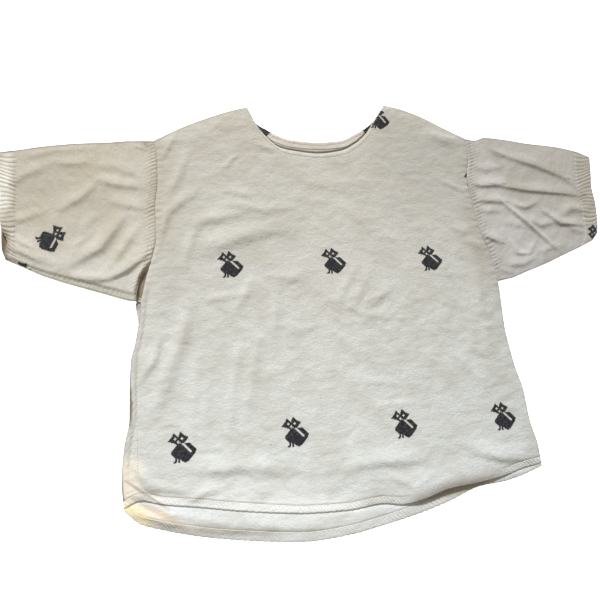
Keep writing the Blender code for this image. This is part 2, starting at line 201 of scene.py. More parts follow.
def top_edge(share, neck):
    """Left shoulder, neck and right shoulder as one line."""
    x_left = -261.5 + 149.5 * share_of(share / SHOULDER_SHARE)
    x_right = 119 + 137 * share_of((share - NECK_END) / SHOULDER_SHARE)
    line = neck_edge(share_of((share - SHOULDER_SHARE) / NECK_SHARE), neck)
    left = np.stack([x_left, curve(-x_left, SHOULDER_X, LEFT_SHOULDER)], -1)
    right = np.stack([x_right, curve(x_right, SHOULDER_X, RIGHT_SHOULDER)], -1)
    line = np.where((share > NECK_END)[..., None], right, line)
    return np.where((share < SHOULDER_SHARE)[..., None], left, line)


print("neck from", NECK_X[0], "to", NECK_X[-1], "mm")

# %% [markdown]
# Side seam and armhole seam are one line from hem to shoulder. Four such lines enclose a piece, and the
# plane between them is filled evenly, so the rows of the grid follow the seams as threads would.

# %% Side edge, and the plane between four edges
def side_edge(share, side, armhole, low_y, high_y, underarm=False):
    """Side seam and armhole seam, from the hem corner to the shoulder."""
    y = low_y + (high_y - low_y) * share
    x = np.where(y < 0, curve(y, SIDE_Y, side), curve(y, ARMHOLE_Y, armhole))
    if underarm:
        wider = -8 * np.interp(y, (-30, 0), (0, 1))
        x = np.where(y < UNDERARM_Y[-1], x + wider, x)
        x = np.where((y > 0) & (y < UNDERARM_Y[-1]), curve(y, UNDERARM_Y, LEFT_UNDERARM), x)
    return np.stack([x, y], -1)


def span_edges(across, along, lower, upper, left, right):
    """Fills the plane between four edges, each a function of a share from 0 to 1."""
    a, b = across[..., None], along[..., None]
    ends = np.array([0.0, 1.0])
    low, high = lower(ends), upper(ends)
    corners = (1 - b) * ((1 - a) * low[0] + a * low[1]) + b * ((1 - a) * high[0] + a * high[1])
    return (1 - b) * lower(across) + b * upper(across) + (1 - a) * left(along) + a * right(along) - corners


def panel_plan(u, v, hem, neck, underarm=False):
    """Plan of the front or the back, between its hem, its sides and its top edge."""
    return span_edges(u, v, lambda s: hem_edge(s, hem), lambda s: top_edge(s, neck),
                      lambda s: side_edge(s, LEFT_SIDE, LEFT_ARMHOLE, hem[0], 257.5, underarm),
                      lambda s: side_edge(s, RIGHT_SIDE, RIGHT_ARMHOLE, hem[-1], 266))


half = np.array([0.5])
print("middle of the front, mm", panel_plan(half, half, FRONT_HEM, FRONT_NECK)[0].round(1))

# %% [markdown]
# ## Laying a sheet
# Cloth on a table could be dropped by simulation, but this top was smoothed out by hand, and each crease
# has its place. So a sheet starts as a flat grid, every point is laid at its plan place and height, and
# a thin wall is added. The map that the weave follows is laid at the same time, in metres of cloth.

# %% Lay a sheet of cloth
WELD = 0.00002


def lay_sheet(name, columns, rows, place, grain, material, thickness=0.75, close=False):
    """A grid whose points go where place(u, v) says, in millimetres. grain turns plan into cloth.
    A fourth number of a point says how much painted shade its colour gets."""
    bpy.ops.object.select_all(action="DESELECT")
    bpy.ops.mesh.primitive_grid_add(x_subdivisions=columns, y_subdivisions=rows, size=1, calc_uvs=True)
    piece = bpy.context.object
    piece.name = name
    piece.data.name = name
    mesh = piece.data
    flat = np.empty(len(mesh.vertices) * 3)
    mesh.vertices.foreach_get("co", flat)
    flat = flat.reshape(-1, 3)
    points = place(share_of(flat[:, 0] + 0.5), share_of(flat[:, 1] + 0.5))
    corner = np.empty(len(mesh.loops), int)
    mesh.loops.foreach_get("vertex_index", corner)
    cloth = grain(points[:, 0], points[:, 1]) * MM
    mesh.uv_layers[0].data.foreach_set("uv", cloth[corner].ravel())
    points = points.copy()
    points[:, :2] -= MIDDLE
    mesh.vertices.foreach_set("co", (points[:, :3] * MM).ravel())
    if points.shape[1] == 4:
        mesh.attributes.new("shade_paint", "FLOAT", "POINT").data.foreach_set("value", points[:, 3].copy())
    mesh.update()
    if close:
        bpy.ops.object.mode_set(mode="EDIT")
        bpy.ops.mesh.select_all(action="SELECT")
        bpy.ops.mesh.remove_doubles(threshold=WELD)
        bpy.ops.object.mode_set(mode="OBJECT")
    bpy.ops.object.shade_smooth()
    mesh.materials.append(material)
    wall = piece.modifiers.new("cloth_wall", "SOLIDIFY")
    wall.thickness = thickness * MM
    wall.offset = -1
    wall.use_even_offset = False
    bpy.ops.object.modifier_apply(modifier=wall.name)
    print(name, len(piece.data.polygons) * 2, "triangles")
    return piece


print("points closer than", WELD * 1000, "mm are welded")

# %% [markdown]
# A crease in worn cotton has a steep side and a gentle side, and fades out at both ends. It could be
# sculpted, but a table of short paths and heights is easier to compare with the real cloth and to mend.

# %% Heights of creases
def near(distance, reach):
    """1 on a line and less further away, with a soft foot."""
    return np.exp(-((distance / reach) ** 2))


def creases(x, y, table):
    """Adds up folds. Each row has three plan points, a height, and the reach of the fold to the
    right and to the left of its path: a short reach is a steep side, a long one a gentle side."""
    total = np.zeros(x.shape)
    for x1, y1, x2, y2, x3, y3, height, right_reach, left_reach in table:
        ends = np.array([[x1, y1], [x2, y2], [x3, y3]], float)
        nearest = np.full(x.shape, 1e9)
        where = np.zeros(x.shape)
        reach = np.full(x.shape, float(right_reach))
        for bay in (0, 1):
            run = ends[bay + 1] - ends[bay]
            dx, dy = x - ends[bay][0], y - ends[bay][1]
            t = share_of((dx * run[0] + dy * run[1]) / (run @ run))
            gap = np.hypot(dx - t * run[0], dy - t * run[1])
            closer = gap < nearest
            where = np.where(closer, (bay + t) / 2, where)
            reach = np.where(closer, np.where(run[0] * dy > run[1] * dx, left_reach, right_reach), reach)
            nearest = np.minimum(gap, nearest)
        taper = np.sin(np.pi * share_of(where * 0.88 + 0.06)) ** 0.7
        total += height * taper * near(nearest, reach)
    return total


def rise(distance, reach=16.0):
    """0 on a seam that holds the cloth down, and 1 where the cloth lies loose."""
    return 1 - np.exp(-np.maximum(distance, 0) / reach)


print("16 mm from a seam the cloth has", round(float(rise(16)), 2), "of its full height")

# %% [markdown]
# A seam draws cloth up into small gathers, and a hand never smooths cloth quite flat. Both could come
# from noise, but gathers have a pitch, so waves are used, and slow waves shift each gather a little.

# %% Drift, puckers and gathers
TURN, PI = 6.28, 3.14159
chance = np.random.default_rng(7)
DRIFT = [
    (chance.uniform(0.4, 1.0), chance.uniform(-1, 1), chance.uniform(-1, 1), chance.uniform(0, TURN))
    for _ in range(14)
]


def drift(x, y, size):
    """Slow unevenness of cloth smoothed by hand, about one unit high."""
    total = np.zeros(x.shape)
    for strength, a, b, phase in DRIFT:
        total += strength * np.sin((a * x + b * y) * TURN / size + phase)
    return total / 5


def puckers(along, pitch, seed):
    """Small gathers pulled up by a seam: uneven spacing and height."""
    wander = 0.9 * np.sin(along / 37.0 + seed) + 0.6 * np.sin(along / 13.0 + 2 * seed)
    strength = 0.75 + 0.25 * np.sin(along / 23.0 + 3 * seed)
    return strength * np.cos((along + wander) * (2 * PI) / pitch)


def gathers(along, pitch, seed):
    """Rounded gathers with a narrow crease between two, as a seam draws them up."""
    wander = 2.6 * np.sin(along / 31.0 + seed) + 1.5 * np.sin(along / 10.0 + 2 * seed)
    strength = 0.66 + 0.34 * np.sin(along / 8.0 + 3 * seed) * np.sin(along / 21.0 + seed)
    return strength * (2 * np.abs(np.cos((along + wander) * PI / pitch)) ** 0.7 - 1.1)


def between(drawn):
    """Depth between two gathers, from 0 on a crest to 1 in the crease, where shade is painted."""
    return share_of((0.45 - drawn) / 1.4)


print("waves in the drift", len(DRIFT))

# %% [markdown]
# ## Cotton
# The cloth is a plain weave with uneven threads: thick places run along the weft as pale and dark
# streaks a thread or two wide. The streaks read the cloth map, so they follow each cut piece. Pictures
# of cloth could do this too, but noise has no edge and no repeat. Short helpers keep the trees readable.

# %% Helpers for node trees
def new_material(name, rough, sheen, shine):
    """A material with its plain values set. Returns it with its node tree and its shader."""
    material = bpy.data.materials.new(name)
    material.use_nodes = True
    shader = material.node_tree.nodes["Principled BSDF"]
    for socket, value in (("Roughness", rough), ("Sheen Weight", sheen), ("Specular IOR Level", shine)):
        shader.inputs[socket].default_value = value
    return material, material.node_tree, shader


def node(tree, kind, place, sockets=None, **settings):
    """Adds a node. Each socket is given a value, or the output that feeds it."""
    made = tree.nodes.new(kind)
    made.location = place
    for key, value in settings.items():
        setattr(made, key, value)
    for key, value in (sockets or {}).items():
        if isinstance(value, bpy.types.NodeSocket):
            tree.links.new(value, made.inputs[key])
        else:
            made.inputs[key].default_value = value
    return made


def streaks(tree, source, scale, place, detail=3.0):
    """Noise drawn out along the weft."""
    mapping = node(tree, "ShaderNodeMapping", place, {"Vector": source, "Scale": scale})
    sockets = {"Vector": mapping.outputs["Vector"], "Scale": 1, "Detail": detail}
    return node(tree, "ShaderNodeTexNoise", (place[0] + 200, place[1]), sockets).outputs["Fac"]


def bump(tree, height, strength, distance, place, under=None):
    """A bump, laid over the one under it."""
    sockets = {"Strength": strength, "Distance": distance, "Height": height}
    if under is not None:
        sockets["Normal"] = under
    return node(tree, "ShaderNodeBump", place, sockets).outputs["Normal"]


def scaled(tree, factor, low, high, to_low, to_high, place):
    """Moves a value from one span to another."""
    sockets = {"Value": factor, "From Min": low, "From Max": high, "To Min": to_low, "To Max": to_high}
    return node(tree, "ShaderNodeMapRange", place, sockets).outputs["Result"]


def tinted(tree, under, over, share, place, kind="MIX"):
    """Mixes two colours. Each of the three can be a value or an output."""
    sockets = {0: share, 6: under, 7: over}
    return node(tree, "ShaderNodeMix", place, sockets, data_type="RGBA", blend_type=kind).outputs[2]


def spot(tree, position, centre, size, turn, strength, ragged, place):
    """Share of an oval of colour, used for stains and for painted light and shade: an oval at a plan place in
    millimetres, with an edge broken up by noise.
    """
    x, y = place
    sockets = {"Vector": position, "Location": (*((np.array(centre) - MIDDLE) * MM), 0),
               "Rotation": (0, 0, np.radians(turn)), "Scale": (size[0] * MM, size[1] * MM, 1000)}
    mapping = node(tree, "ShaderNodeMapping", place, sockets, vector_type="TEXTURE")
    far = node(tree, "ShaderNodeVectorMath", (x + 200, y), {0: mapping.outputs["Vector"]}, operation="LENGTH")
    broken = node(tree, "ShaderNodeMath", (x + 400, y), {0: far.outputs["Value"], 1: ragged}, operation="ADD")
    return scaled(tree, broken.outputs["Value"], 0.45, 1.25, strength, 0.0, (x + 600, y))


print("scale of the cloth map: 1 unit is 1 m")

# %% [markdown]
# Each oval of colour is a stain or a patch of painted light or shade. The stains are the yellow at the hem
# corner, a small mark and a speck. Painted shade is the grey-brown at the right armhole and the upper right,
# brown along creases and the corner's hem line, and dark brown in the gap at the left underarm, at the left
# side edge, under the hem, inside the left cuff and in a notch. Some lighter ovals are painted light, near
# the front hem and at the lower left. Other ovals only make the cloth a little darker or lighter in places.
# Each oval has a ragged edge. It could be painted on, but an oval at a plan place needs no picture. Each row
# has colour, place, half lengths, turn in degrees and strength.

# %% Stains, painted shade and painted light
BODY_STAINS_AND_SHADE = (
    ((0.500, 0.455, 0.385, 1), (-250, 165), (34, 110), 0, 0.85),
    # Painted shade: the upper right and the right armhole darker, where the light is dimmer.
    ((0.420, 0.405, 0.365, 1), (195, 225), (105, 100), 0, 0.55),
    ((0.410, 0.375, 0.325, 1), (255, 70), (34, 75), 4, 0.70),
    # Painted shade along a crease of the chest.
    ((0.430, 0.405, 0.355, 1), (-90, 120), (60, 18), 10, 0.50),
    ((0.84, 0.74, 0.57, 1), (-297, -246), (22, 36), -12, 0.60),
    ((0.88, 0.76, 0.47, 1), (-287, -284), (28, 13), -28, 0.85),
    ((0.74, 0.60, 0.45, 1), (-232, -300), (44, 6), -24, 0.45),
    # Painted shade: brown along the creased hem line at the corner.
    ((0.36, 0.26, 0.16, 1), (-274, -259), (26, 2.6), -36, 0.80),
    ((0.55, 0.40, 0.26, 1), (-262, -281), (34, 3), -30, 0.50),
    ((0.56, 0.45, 0.30, 1), (90, -280), (6, 3), -35, 0.35),
    ((0.10, 0.09, 0.09, 1), (-102, -210), (1.3, 1.0), 0, 0.9),
    # Painted shade: dark brown at the left side edge, in the shadow beside the back's edge.
    ((0.20, 0.15, 0.10, 1), (-293, -140), (3.6, 34), 2, 0.90),
)
FRONT_STAINS_LIGHT_AND_SHADE = (
    # Painted light: lighter near the hem and at the lower left, standing in for brighter light there.
    ((0.690, 0.690, 0.660, 1), (-165, -262), (125, 30), -6, 0.60),
    ((0.800, 0.802, 0.775, 1), (-115, -291), (170, 17), -7, 0.90),
    ((0.600, 0.600, 0.565, 1), (-215, -165), (46, 85), -6, 0.55),
    ((0.445, 0.430, 0.385, 1), (-236, 30), (20, 60), -8, 0.35),
) + BODY_STAINS_AND_SHADE
INSIDE_STAINS_AND_SHADE = BODY_STAINS_AND_SHADE + (
    # Painted shade: dark brown in the gap at the left underarm, in the shadow under the right half of the
    # front hem, and grey-brown on the back's hem at the left.
    ((0.200, 0.150, 0.095, 1), (-275, 30), (8, 42), -14, 0.95),
    ((0.30, 0.25, 0.17, 1), (158, -292), (78, 9), 6, 0.75),
    ((0.45, 0.40, 0.30, 1), (-245, -303), (52, 5), -20, 0.40),
    ((0.39, 0.37, 0.32, 1), (-170, -314), (72, 9), -9, 0.60),
)
LEFT_STAINS_AND_SHADE = (
    ((0.575, 0.540, 0.475, 1), (-284, 190), (26, 80), 0, 0.55),
    ((0.600, 0.575, 0.515, 1), (-345, 50), (85, 20), -14, 0.60),
    # Painted shade: brown where folds of the sleeve lie in shade.
    ((0.470, 0.430, 0.365, 1), (-425, 195), (60, 38), 12, 0.55),
    ((0.475, 0.435, 0.370, 1), (-350, 140), (50, 36), 30, 0.40),
    ((0.820, 0.785, 0.700, 1), (-472, 185), (13, 62), 0, 0.80),
    # Painted shade: dark brown inside the cuff, in a notch at the shoulder and in the gap at the underarm.
    ((0.150, 0.100, 0.055, 1), (-470, 97), (11, 27), 6, 0.95),
    ((0.360, 0.270, 0.190, 1), (-269, 250), (7, 5), -40, 0.75),
    ((0.230, 0.170, 0.110, 1), (-275, 30), (7, 38), -14, 0.92),
)
RIGHT_STAINS = (
    ((0.535, 0.512, 0.480, 1), (286, 160), (42, 85), 8, 0.42),
    ((0.395, 0.350, 0.290, 1), (468, 175), (16, 66), -4, 0.65),
    ((0.400, 0.365, 0.310, 1), (440, 140), (34, 42), 0, 0.50),
    ((0.525, 0.503, 0.472, 1), (340, 62), (75, 24), 16, 0.40),
)
print("stains_and_painted_light", len(FRONT_STAINS_LIGHT_AND_SHADE), len(INSIDE_STAINS_AND_SHADE), len(LEFT_STAINS_AND_SHADE), len(RIGHT_STAINS))

# %% [markdown]
# One function mixes every cotton of the top: the weft's streaks, then mottle, a tone that is darker and
# warmer towards the neck and lighter towards the hem, partly yellowing and partly painted light and shade,
# painted shade towards the right, the stain ovals with their painted light and shade, and painted shade
# between gathers and along folds, edges and the turned hem. Three bumps stand for crinkles too fine for the
# sheets.

# %% Cotton with uneven weft threads
# Dark brown painted shade, mixed in by the fourth number of each point.
SHADE_PAINT_COLOUR = (0.160, 0.115, 0.075, 1)


def cotton(name, tone, stains_and_painted_light, warm=(0.985, 0.925, 0.86, 1), yellowing_and_shade_span=(-0.30, 0.30)):
    """tone is the cloth's colour, and warm what it is multiplied by at the upper end of
    yellowing_and_shade_span, towards the neck: a yellowed tone that is partly painted shade.
    """
    material, tree, shader = new_material(name, 0.92, 0.08, 0.2)
    weave = node(tree, "ShaderNodeUVMap", (-1400, 200)).outputs["UV"]
    position = node(tree, "ShaderNodeTexCoord", (-1400, -300)).outputs["Object"]
    long_slub = streaks(tree, weave, (80, 380, 1), (-1200, 400))
    short_slub = streaks(tree, weave, (260, 420, 1), (-1200, 200))
    mottle = streaks(tree, weave, (22, 26, 1), (-1200, 0), 6.0)
    colour = tone
    for source, low, high, most, change, place in (
        (long_slub, 0.42, 0.68, 0.3, (0.86, 0.845, 0.81), (-500, 400)),
        (short_slub, 0.48, 0.68, 0.75, (1.14, 1.15, 1.17), (-320, 300)),
        (mottle, 0.42, 0.66, 0.7, (0.88, 0.855, 0.81), (-140, 250)),
    ):
        share = scaled(tree, source, low, high, 0.0, most, (-700, place[1]))
        colour = tinted(tree, colour, (*(tone[i] * change[i] for i in range(3)), 1), share, place)
    # Lighter and cooler towards the hem, darker and warmer towards the neck: partly yellowing of the cloth,
    # partly painted light and shade for light that falls off towards the neck.
    apart = node(tree, "ShaderNodeSeparateXYZ", (-1200, -300), {"Vector": position})
    yellowing_and_shade_share = scaled(tree, apart.outputs["Y"], yellowing_and_shade_span[0], yellowing_and_shade_span[1], 0.0, 1.0, (-700, -200))
    yellowing_and_painted_light = tinted(tree, (1.14, 1.165, 1.21, 1), warm, yellowing_and_shade_share, (-140, -100))
    colour = tinted(tree, colour, yellowing_and_painted_light, 1.0, (40, 200), kind="MULTIPLY")
    # Painted shade: darker towards the right, where the light is dimmer.
    painted_shade_right = scaled(tree, apart.outputs["X"], 0.02, 0.28, 0.0, 1.0, (-700, -350))
    colour = tinted(tree, colour, (0.91, 0.92, 0.93, 1), painted_shade_right, (180, 200), kind="MULTIPLY")
    ragged = scaled(tree, mottle, 0.3, 0.7, -0.5, 0.5, (-700, -650))
    for count, (tint, centre, size, turn, strength) in enumerate(stains_and_painted_light):
        share = spot(tree, position, centre, size, turn, strength, ragged, (-1200, -800 - 220 * count))
        colour = tinted(tree, colour, tint, share, (-300, -800 - 220 * count))
    # Painted shade: the points' fourth number darkens the colour between gathers, along folds, seams and
    # edges, and where the hem faces away from the sun.
    shade_paint = node(tree, "ShaderNodeAttribute", (-300, 700), attribute_name="shade_paint").outputs["Fac"]
    shade_paint_share = scaled(tree, shade_paint, 0.0, 1.8, 0.0, 1.0, (100, 600))
    colour = tinted(tree, colour, SHADE_PAINT_COLOUR, shade_paint_share, (600, 300))
    tree.links.new(colour, shader.inputs["Base Color"])
    shader.location = (900, 200)
    crumple = streaks(tree, weave, (45, 60, 1), (-1200, 800), 8.0)
    crinkle = streaks(tree, weave, (48, 62, 1), (-1200, 1050), 5.0)
    crinkle.node.noise_type = "RIDGED_MULTIFRACTAL"
    creased = bump(tree, crinkle, 0.5, 0.0013, (100, 900))
    soft = bump(tree, crumple, 0.55, 0.0030, (300, 700), creased)
    tree.links.new(bump(tree, short_slub, 0.30, 0.0013, (500, 500), soft), shader.inputs["Normal"])
    return material


front_cotton = cotton("cream_cotton_front", (0.532, 0.530, 0.492, 1), FRONT_STAINS_LIGHT_AND_SHADE)
inside_cotton = cotton("cream_cotton_inside", (0.535, 0.532, 0.498, 1), INSIDE_STAINS_AND_SHADE)
# The right sleeve's tone is darker than the front's; part of that is painted shade, as the light is dimmer on
# the right.
sleeve_cottons = {
    "left": cotton("cream_cotton_left_sleeve", (0.517, 0.488, 0.422, 1), LEFT_STAINS_AND_SHADE,
                   (1.0, 0.96, 0.90, 1), (0.0, 0.18)),
    "right": cotton("cream_cotton_right_sleeve", (0.462, 0.438, 0.408, 1), RIGHT_STAINS,
                    (1.0, 0.98, 0.94, 1), (0.0, 0.18)),
}
facing_cotton = cotton("cream_cotton_facing", (0.66, 0.64, 0.59, 1), ())
print("cottons", [material.name for material in bpy.data.materials if "cotton" in material.name])

# %% [markdown]
# The sewing thread is a smooth cream cotton. The cats are woven with a thicker charcoal thread, worn
# to grey in places. Both waver in shade along the thread, so one function mixes both.

# %% Threads for sewing and for the woven cats
def thread(name, dark, pale, grain, detail, span, rough, sheen, shine):
    """grain is the scale of the noise along each axis, and span the part of it that changes shade."""
    material, tree, shader = new_material(name, rough, sheen, shine)
    position = node(tree, "ShaderNodeTexCoord", (-900, 0)).outputs["Object"]
    worn = scaled(tree, streaks(tree, position, grain, (-700, 0), detail), *span, 0.0, 1.0, (-300, 0))
    tree.links.new(tinted(tree, dark, pale, worn, (-100, 0)), shader.inputs["Base Color"])
    return material


sewing_thread = thread("cream_sewing_thread", (0.58, 0.56, 0.50, 1), (0.68, 0.67, 0.61, 1),
                       (300, 300, 300), 3.0, (0.0, 1.0), 0.7, 0.2, 0.5)
motif_thread = thread("charcoal_motif_thread", (0.013, 0.012, 0.014, 1), (0.060, 0.057, 0.062, 1),
                      (260, 700, 260), 4.0, (0.45, 0.7), 0.75, 0.06, 0.2)
print("threads", sewing_thread.name, motif_thread.name)

# %% [markdown]
# ## The front
# One cut piece with a scooped neck. It is held down by the side, shoulder and armhole seams and lies
# loose between them, so it rises from each seam in a soft roll. The right half of its hem stands on
# edge, as the cloth was pushed up there.

# %% Creases of the front
FRONT_CREASES = (
    (-223, 276, -233, 254, -247, 226, 1.8, 9, 4.5),
    (-240, 158, -224, 192, -208, 232, 1.5, 7, 8),
    (-252, 104, -236, 140, -198, 170, 1.9, 7, 13),
    (-204, 116, -178, 126, -120, 138, 1.7, 9, 12),
    (-192, 78, -130, 98, -55, 114, 2.6, 13, 17),
    (-160, 152, -100, 142, -50, 140, 1.0, 6, 10),
    (-150, 212, -142, 222, -134, 232, 0.8, 5, 5),
    (-152, 172, -130, 168, -110, 162, 1.0, 5, 8),
    (-104, 254, -85, 247, -58, 241, 1.0, 5, 7),
    (-214, 52, -208, 84, -196, 112, 1.4, 6, 9),
    (-238, 136, -247, 104, -256, 66, 1.5, 8, 4),
    (-251, -48, -258, -84, -281, -113, 2.0, 9, 4.5),
    (-208, 0, -224, -62, -262, -158, 2.2, 12, 10),
    (-200, -80, -206, -150, -214, -230, 1.3, 10, 8),
    (-184, -100, -190, -150, -196, -210, 1.0, 8, 7),
    (-140, -70, -150, -120, -160, -190, 1.2, 6, 8),
    (-112, -60, -122, -110, -136, -180, 1.0, 7, 8),
    (-80, 20, -86, -30, -92, -70, 1.0, 6, 9),
    (-118, 30, -130, 5, -146, -20, 1.1, 6, 8),
    (-186, 0, -160, 5, -132, 8, 0.8, 4.5, 6),
    (-90, 34, -60, 30, -40, 36, 1.0, 6, 8),
    (-70, -52, -45, -48, -15, -44, 0.7, 4.5, 6),
    (-198, -238, -145, -235, -88, -244, 2.8, 8, 14),
    (-212, -274, -194, -265, -174, -262, 1.8, 4.5, 6),
    (-284, -232, -262, -252, -222, -262, 1.6, 4.5, 7),
    (-230, -268, -200, -274, -150, -281, 1.2, 4.5, 10),
    (-299, -268, -290, -261, -272, -261, 1.8, 4, 4.5),
    (-300, -276, -288, -270, -276, -272, 1.0, 4, 4),
    (-287, -232, -275, -256, -252, -268, -1.7, 2.6, 2.6),
    (-291, -200, -288, -222, -276, -240, 1.4, 4, 5),
    (-297, -246, -286, -262, -262, -273, 1.3, 3, 3),
    (-298, -256, -290, -254, -283, -250, 0.9, 2.5, 2.5),
    (190, 272, 218, 265, 250, 259, 2.6, 12, 9),
    (205, 188, 222, 178, 240, 168, 1.0, 4.5, 6),
    (116, 188, 128, 158, 140, 126, 0.8, 5, 4.5),
    (164, 120, 176, 92, 184, 66, 1.1, 6, 4.5),
    (183, 66, 192, 36, 206, 8, 1.1, 6, 4.5),
    (208, 106, 225, 100, 246, 98, 1.5, 6, 8),
    (230, 86, 248, 76, 262, 74, 1.8, 9, 8),
    (240, 50, 238, -20, 244, -110, 2.2, 12, 10),
    (236, -60, 250, -58, 266, -56, 1.0, 4.5, 6),
    (198, -94, 214, -90, 232, -98, 1.0, 5, 4.5),
    (188, -100, 206, -120, 228, -150, 1.1, 8, 8),
    (10, -20, 24, 14, 44, 46, 1.1, 7, 9),
    (26, -26, 44, 0, 66, 40, 1.1, 6, 9),
    (62, -16, 80, -2, 98, 10, 1.2, 6, 10),
    (24, -16, 54, -33, 92, -37, 1.1, 4.5, 7),
    (32, -130, 55, -130, 80, -135, 1.1, 4.5, 6),
    (50, -168, 80, -166, 110, -164, 0.7, 5, 6),
    (120, -60, 126, -110, 130, -170, 0.8, 7, 8),
    (2, -248, 55, -244, 114, -246, 2.3, 8, 14),
    (68, -266, 82, -273, 98, -283, 1.4, 4.5, 5),
    (188, -238, 232, -254, 288, -260, 2.8, 5, 16),
    (20, 150, 60, 120, 100, 90, 0.8, 9, 12),
    (-30, 190, 20, 180, 80, 190, 0.8, 9, 12),
)
print("creases of the front", len(FRONT_CREASES))

# %% [markdown]
# The front's height is built up one cause at a time: the roll beside each seam, creases, gathers along
# armholes and side seam, and the pressed lines at hem and neck. So each can be changed by itself.

# %% Place the points of the front
PANEL_WIDTH, FRONT_LENGTH = 555, 560
NECK_LENGTH = 640


def front_point(u, v):
    """Plan place, height and painted shade of the front's upper face."""
    # Soft rolls beside the seams.
    xy = panel_plan(u, v, FRONT_HEM, FRONT_NECK)
    x, y = xy[:, 0], xy[:, 1]
    from_side = np.minimum(u, 1 - u) * PANEL_WIDTH
    from_hem, from_top = v * FRONT_LENGTH, (1 - v) * FRONT_LENGTH
    over_neck = share_of((0.245 - np.abs(u - 0.5)) / 0.04)
    ridge = near(from_hem, 26)
    beside_sleeve = share_of(y / 12) * share_of((from_top - 4) / 10)
    z = 2.75 + 0.3 * beside_sleeve * np.exp(-from_side / 12) - 0.95 * near(from_hem, 17)
    z += 2.3 * rise(from_side) * rise(from_top) * rise(from_hem + 4, 60)
    z += 1.2 * over_neck * np.exp(-from_top / 40)
    z += curve(x, HEM_X, FRONT_ROLL) * ridge * rise(from_side)
    # Creases and drift, where the cloth is loose.
    loose = rise(from_side) * rise(from_top, 10) * rise(from_hem + 2, 10)
    upper_left = share_of((-x - 60) / 60) * share_of((y + 130) / 40)
    folds = (1.15 + 0.3 * upper_left) * creases(x, y, FRONT_CREASES)
    z += (folds + 0.45 * drift(x, y, 170) + 0.16 * drift(y, x, 48)) * loose
    # Gathers along armholes and sides, and the left side seam wrapped to the front.
    seam = np.where(y > 0, 1.0, 0.35) * near(from_side - 5, 6)
    drawn = gathers(y, 11.0, np.where(u < 0.5, 1.0, 2.3)) * (from_top > 12)
    z += 0.45 * seam * drawn
    # Painted shade between the gathers.
    shade_paint = 0.4 * between(drawn) * seam
    wrapped = share_of((50 - y) / 60) * share_of((y + 245) / 30) * (u < 0.5)
    z -= 0.6 * wrapped * near(from_side - 8.5, 1.8)
    drawn = gathers(y, 5.6, 0.9)
    band = wrapped * near(from_side - 5.5, 4.5)
    z += 0.6 * band * drawn
    # Painted shade between the gathers of the wrapped seam's band and in the fold beside it.
    shade_paint = shade_paint + 0.8 * between(drawn) * band + 0.4 * wrapped * near(from_side - 8.5, 1.5)
    # Painted shade where the hem stands on edge and faces away from the sun.
    shade_paint += 1.25 * curve(x, HEM_X, FRONT_TURN) * near(from_hem, 10)
    # Lines that the stitches press in at hem and neck, and painted shade along the shoulder edges, the left
    # side edge and the hem's stitch line.
    pressed = 1 - curve(x, HEM_X, FRONT_TURN)
    z -= 0.35 * pressed * near(from_hem - 9.2, 1.2) * rise(from_side, 6)
    z -= 0.2 * over_neck * near(from_top - 7.5, 1.5)
    z += 0.25 * over_neck * near(from_top - 5.5, 2.5) * (1 + 0.5 * gathers(u * NECK_LENGTH, 7.0, 0.4))
    z -= 0.5 * over_neck * np.exp(-from_top / 1.5)
    shade_paint += (1 - over_neck) * near(from_top, 1.8)
    edge = 1 + 0.8 * share_of((-235 - y) / 10)
    shade_paint += edge * (u < 0.5) * (y < 0) * near(from_side, 1.5)
    shade_paint += 0.5 * pressed * near(from_hem - 9.8, 1.3)
    return np.column_stack([x, y, z, shade_paint])


def front_spacing(v):
    """Rows lie closer together at the hem, beside the armholes and at the neck."""
    return np.interp(v, (0, 0.07, 0.40, 0.955, 1), (0, 0.03, 0.50, 0.985, 1))


def body_grain(x, y):
    """The weave lies one degree off the plan."""
    return np.column_stack([x + 0.017 * y, y - 0.017 * x])


front = lay_sheet("front_panel", 206, 222, lambda u, v: front_point(u, front_spacing(v)), body_grain,
                  front_cotton, 0.55)
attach(front, "root")
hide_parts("front")

# %% [markdown]
# ## The back
# The back lies under everything and flat on the table. It is longer than the front, so a crescent of its
# inside shows below the front hem, with the turned-up hem on it. Only that crescent and the neck get
# folds, because a fold under the front would push through it.

# %% Place the points of the back
BACK_NECK_LIFT, BACK_HEIGHT, BACK_LENGTH = 2.0, 1.05, 600
BACK_CREASES = (
    (-284, -284, -262, -292, -236, -302, 1.4, 3.5, 7),
    (-262, -294, -200, -309, -110, -319, 1.6, 6, 14),
    (-110, -318, -70, -322, -30, -325, 1.0, 4, 10),
    (-250, -286, -225, -292, -190, -300, 0.8, 4, 6),
)


def neck_lift(x, y):
    """The back of the neck stands up behind the front's edge, so it is seen through the neck."""
    past_front = y - curve(x, NECK_X, FRONT_NECK)
    return BACK_NECK_LIFT * share_of((92 - np.abs(x)) / 12) * share_of((past_front - 1.5) / 1.1)


def back_point(u, v):
    """Plan place, height and painted shade of the back's upper face."""
    xy = panel_plan(u, v, BACK_HEM, BACK_NECK, underarm=True)
    x, y = xy[:, 0], xy[:, 1]
    from_hem = v * BACK_LENGTH
    pressed = 1 - curve(x, HEM_X, FRONT_TURN)
    from_side = np.minimum(u, 1 - u) * PANEL_WIDTH
    below_front = share_of((curve(x, HEM_X, FRONT_HEM) - y) / 5) * rise(from_side, 8)
    swell = 1.2 * pressed * near(from_hem - 18, 14) + 0.3 * drift(x, y, 120)
    swell = np.maximum(swell + creases(x, y, BACK_CREASES), 0) - 0.3 * near(from_hem - 11.6, 1.2)
    # Painted shade along the hem's stitch line, where the back shows below the front.
    shade_paint = 0.9 * np.clip((x + 170) / 60, 0.3, 1) * near(from_hem - 12, 1.0) * below_front
    return np.column_stack([xy, BACK_HEIGHT + swell * below_front + neck_lift(x, y), shade_paint])


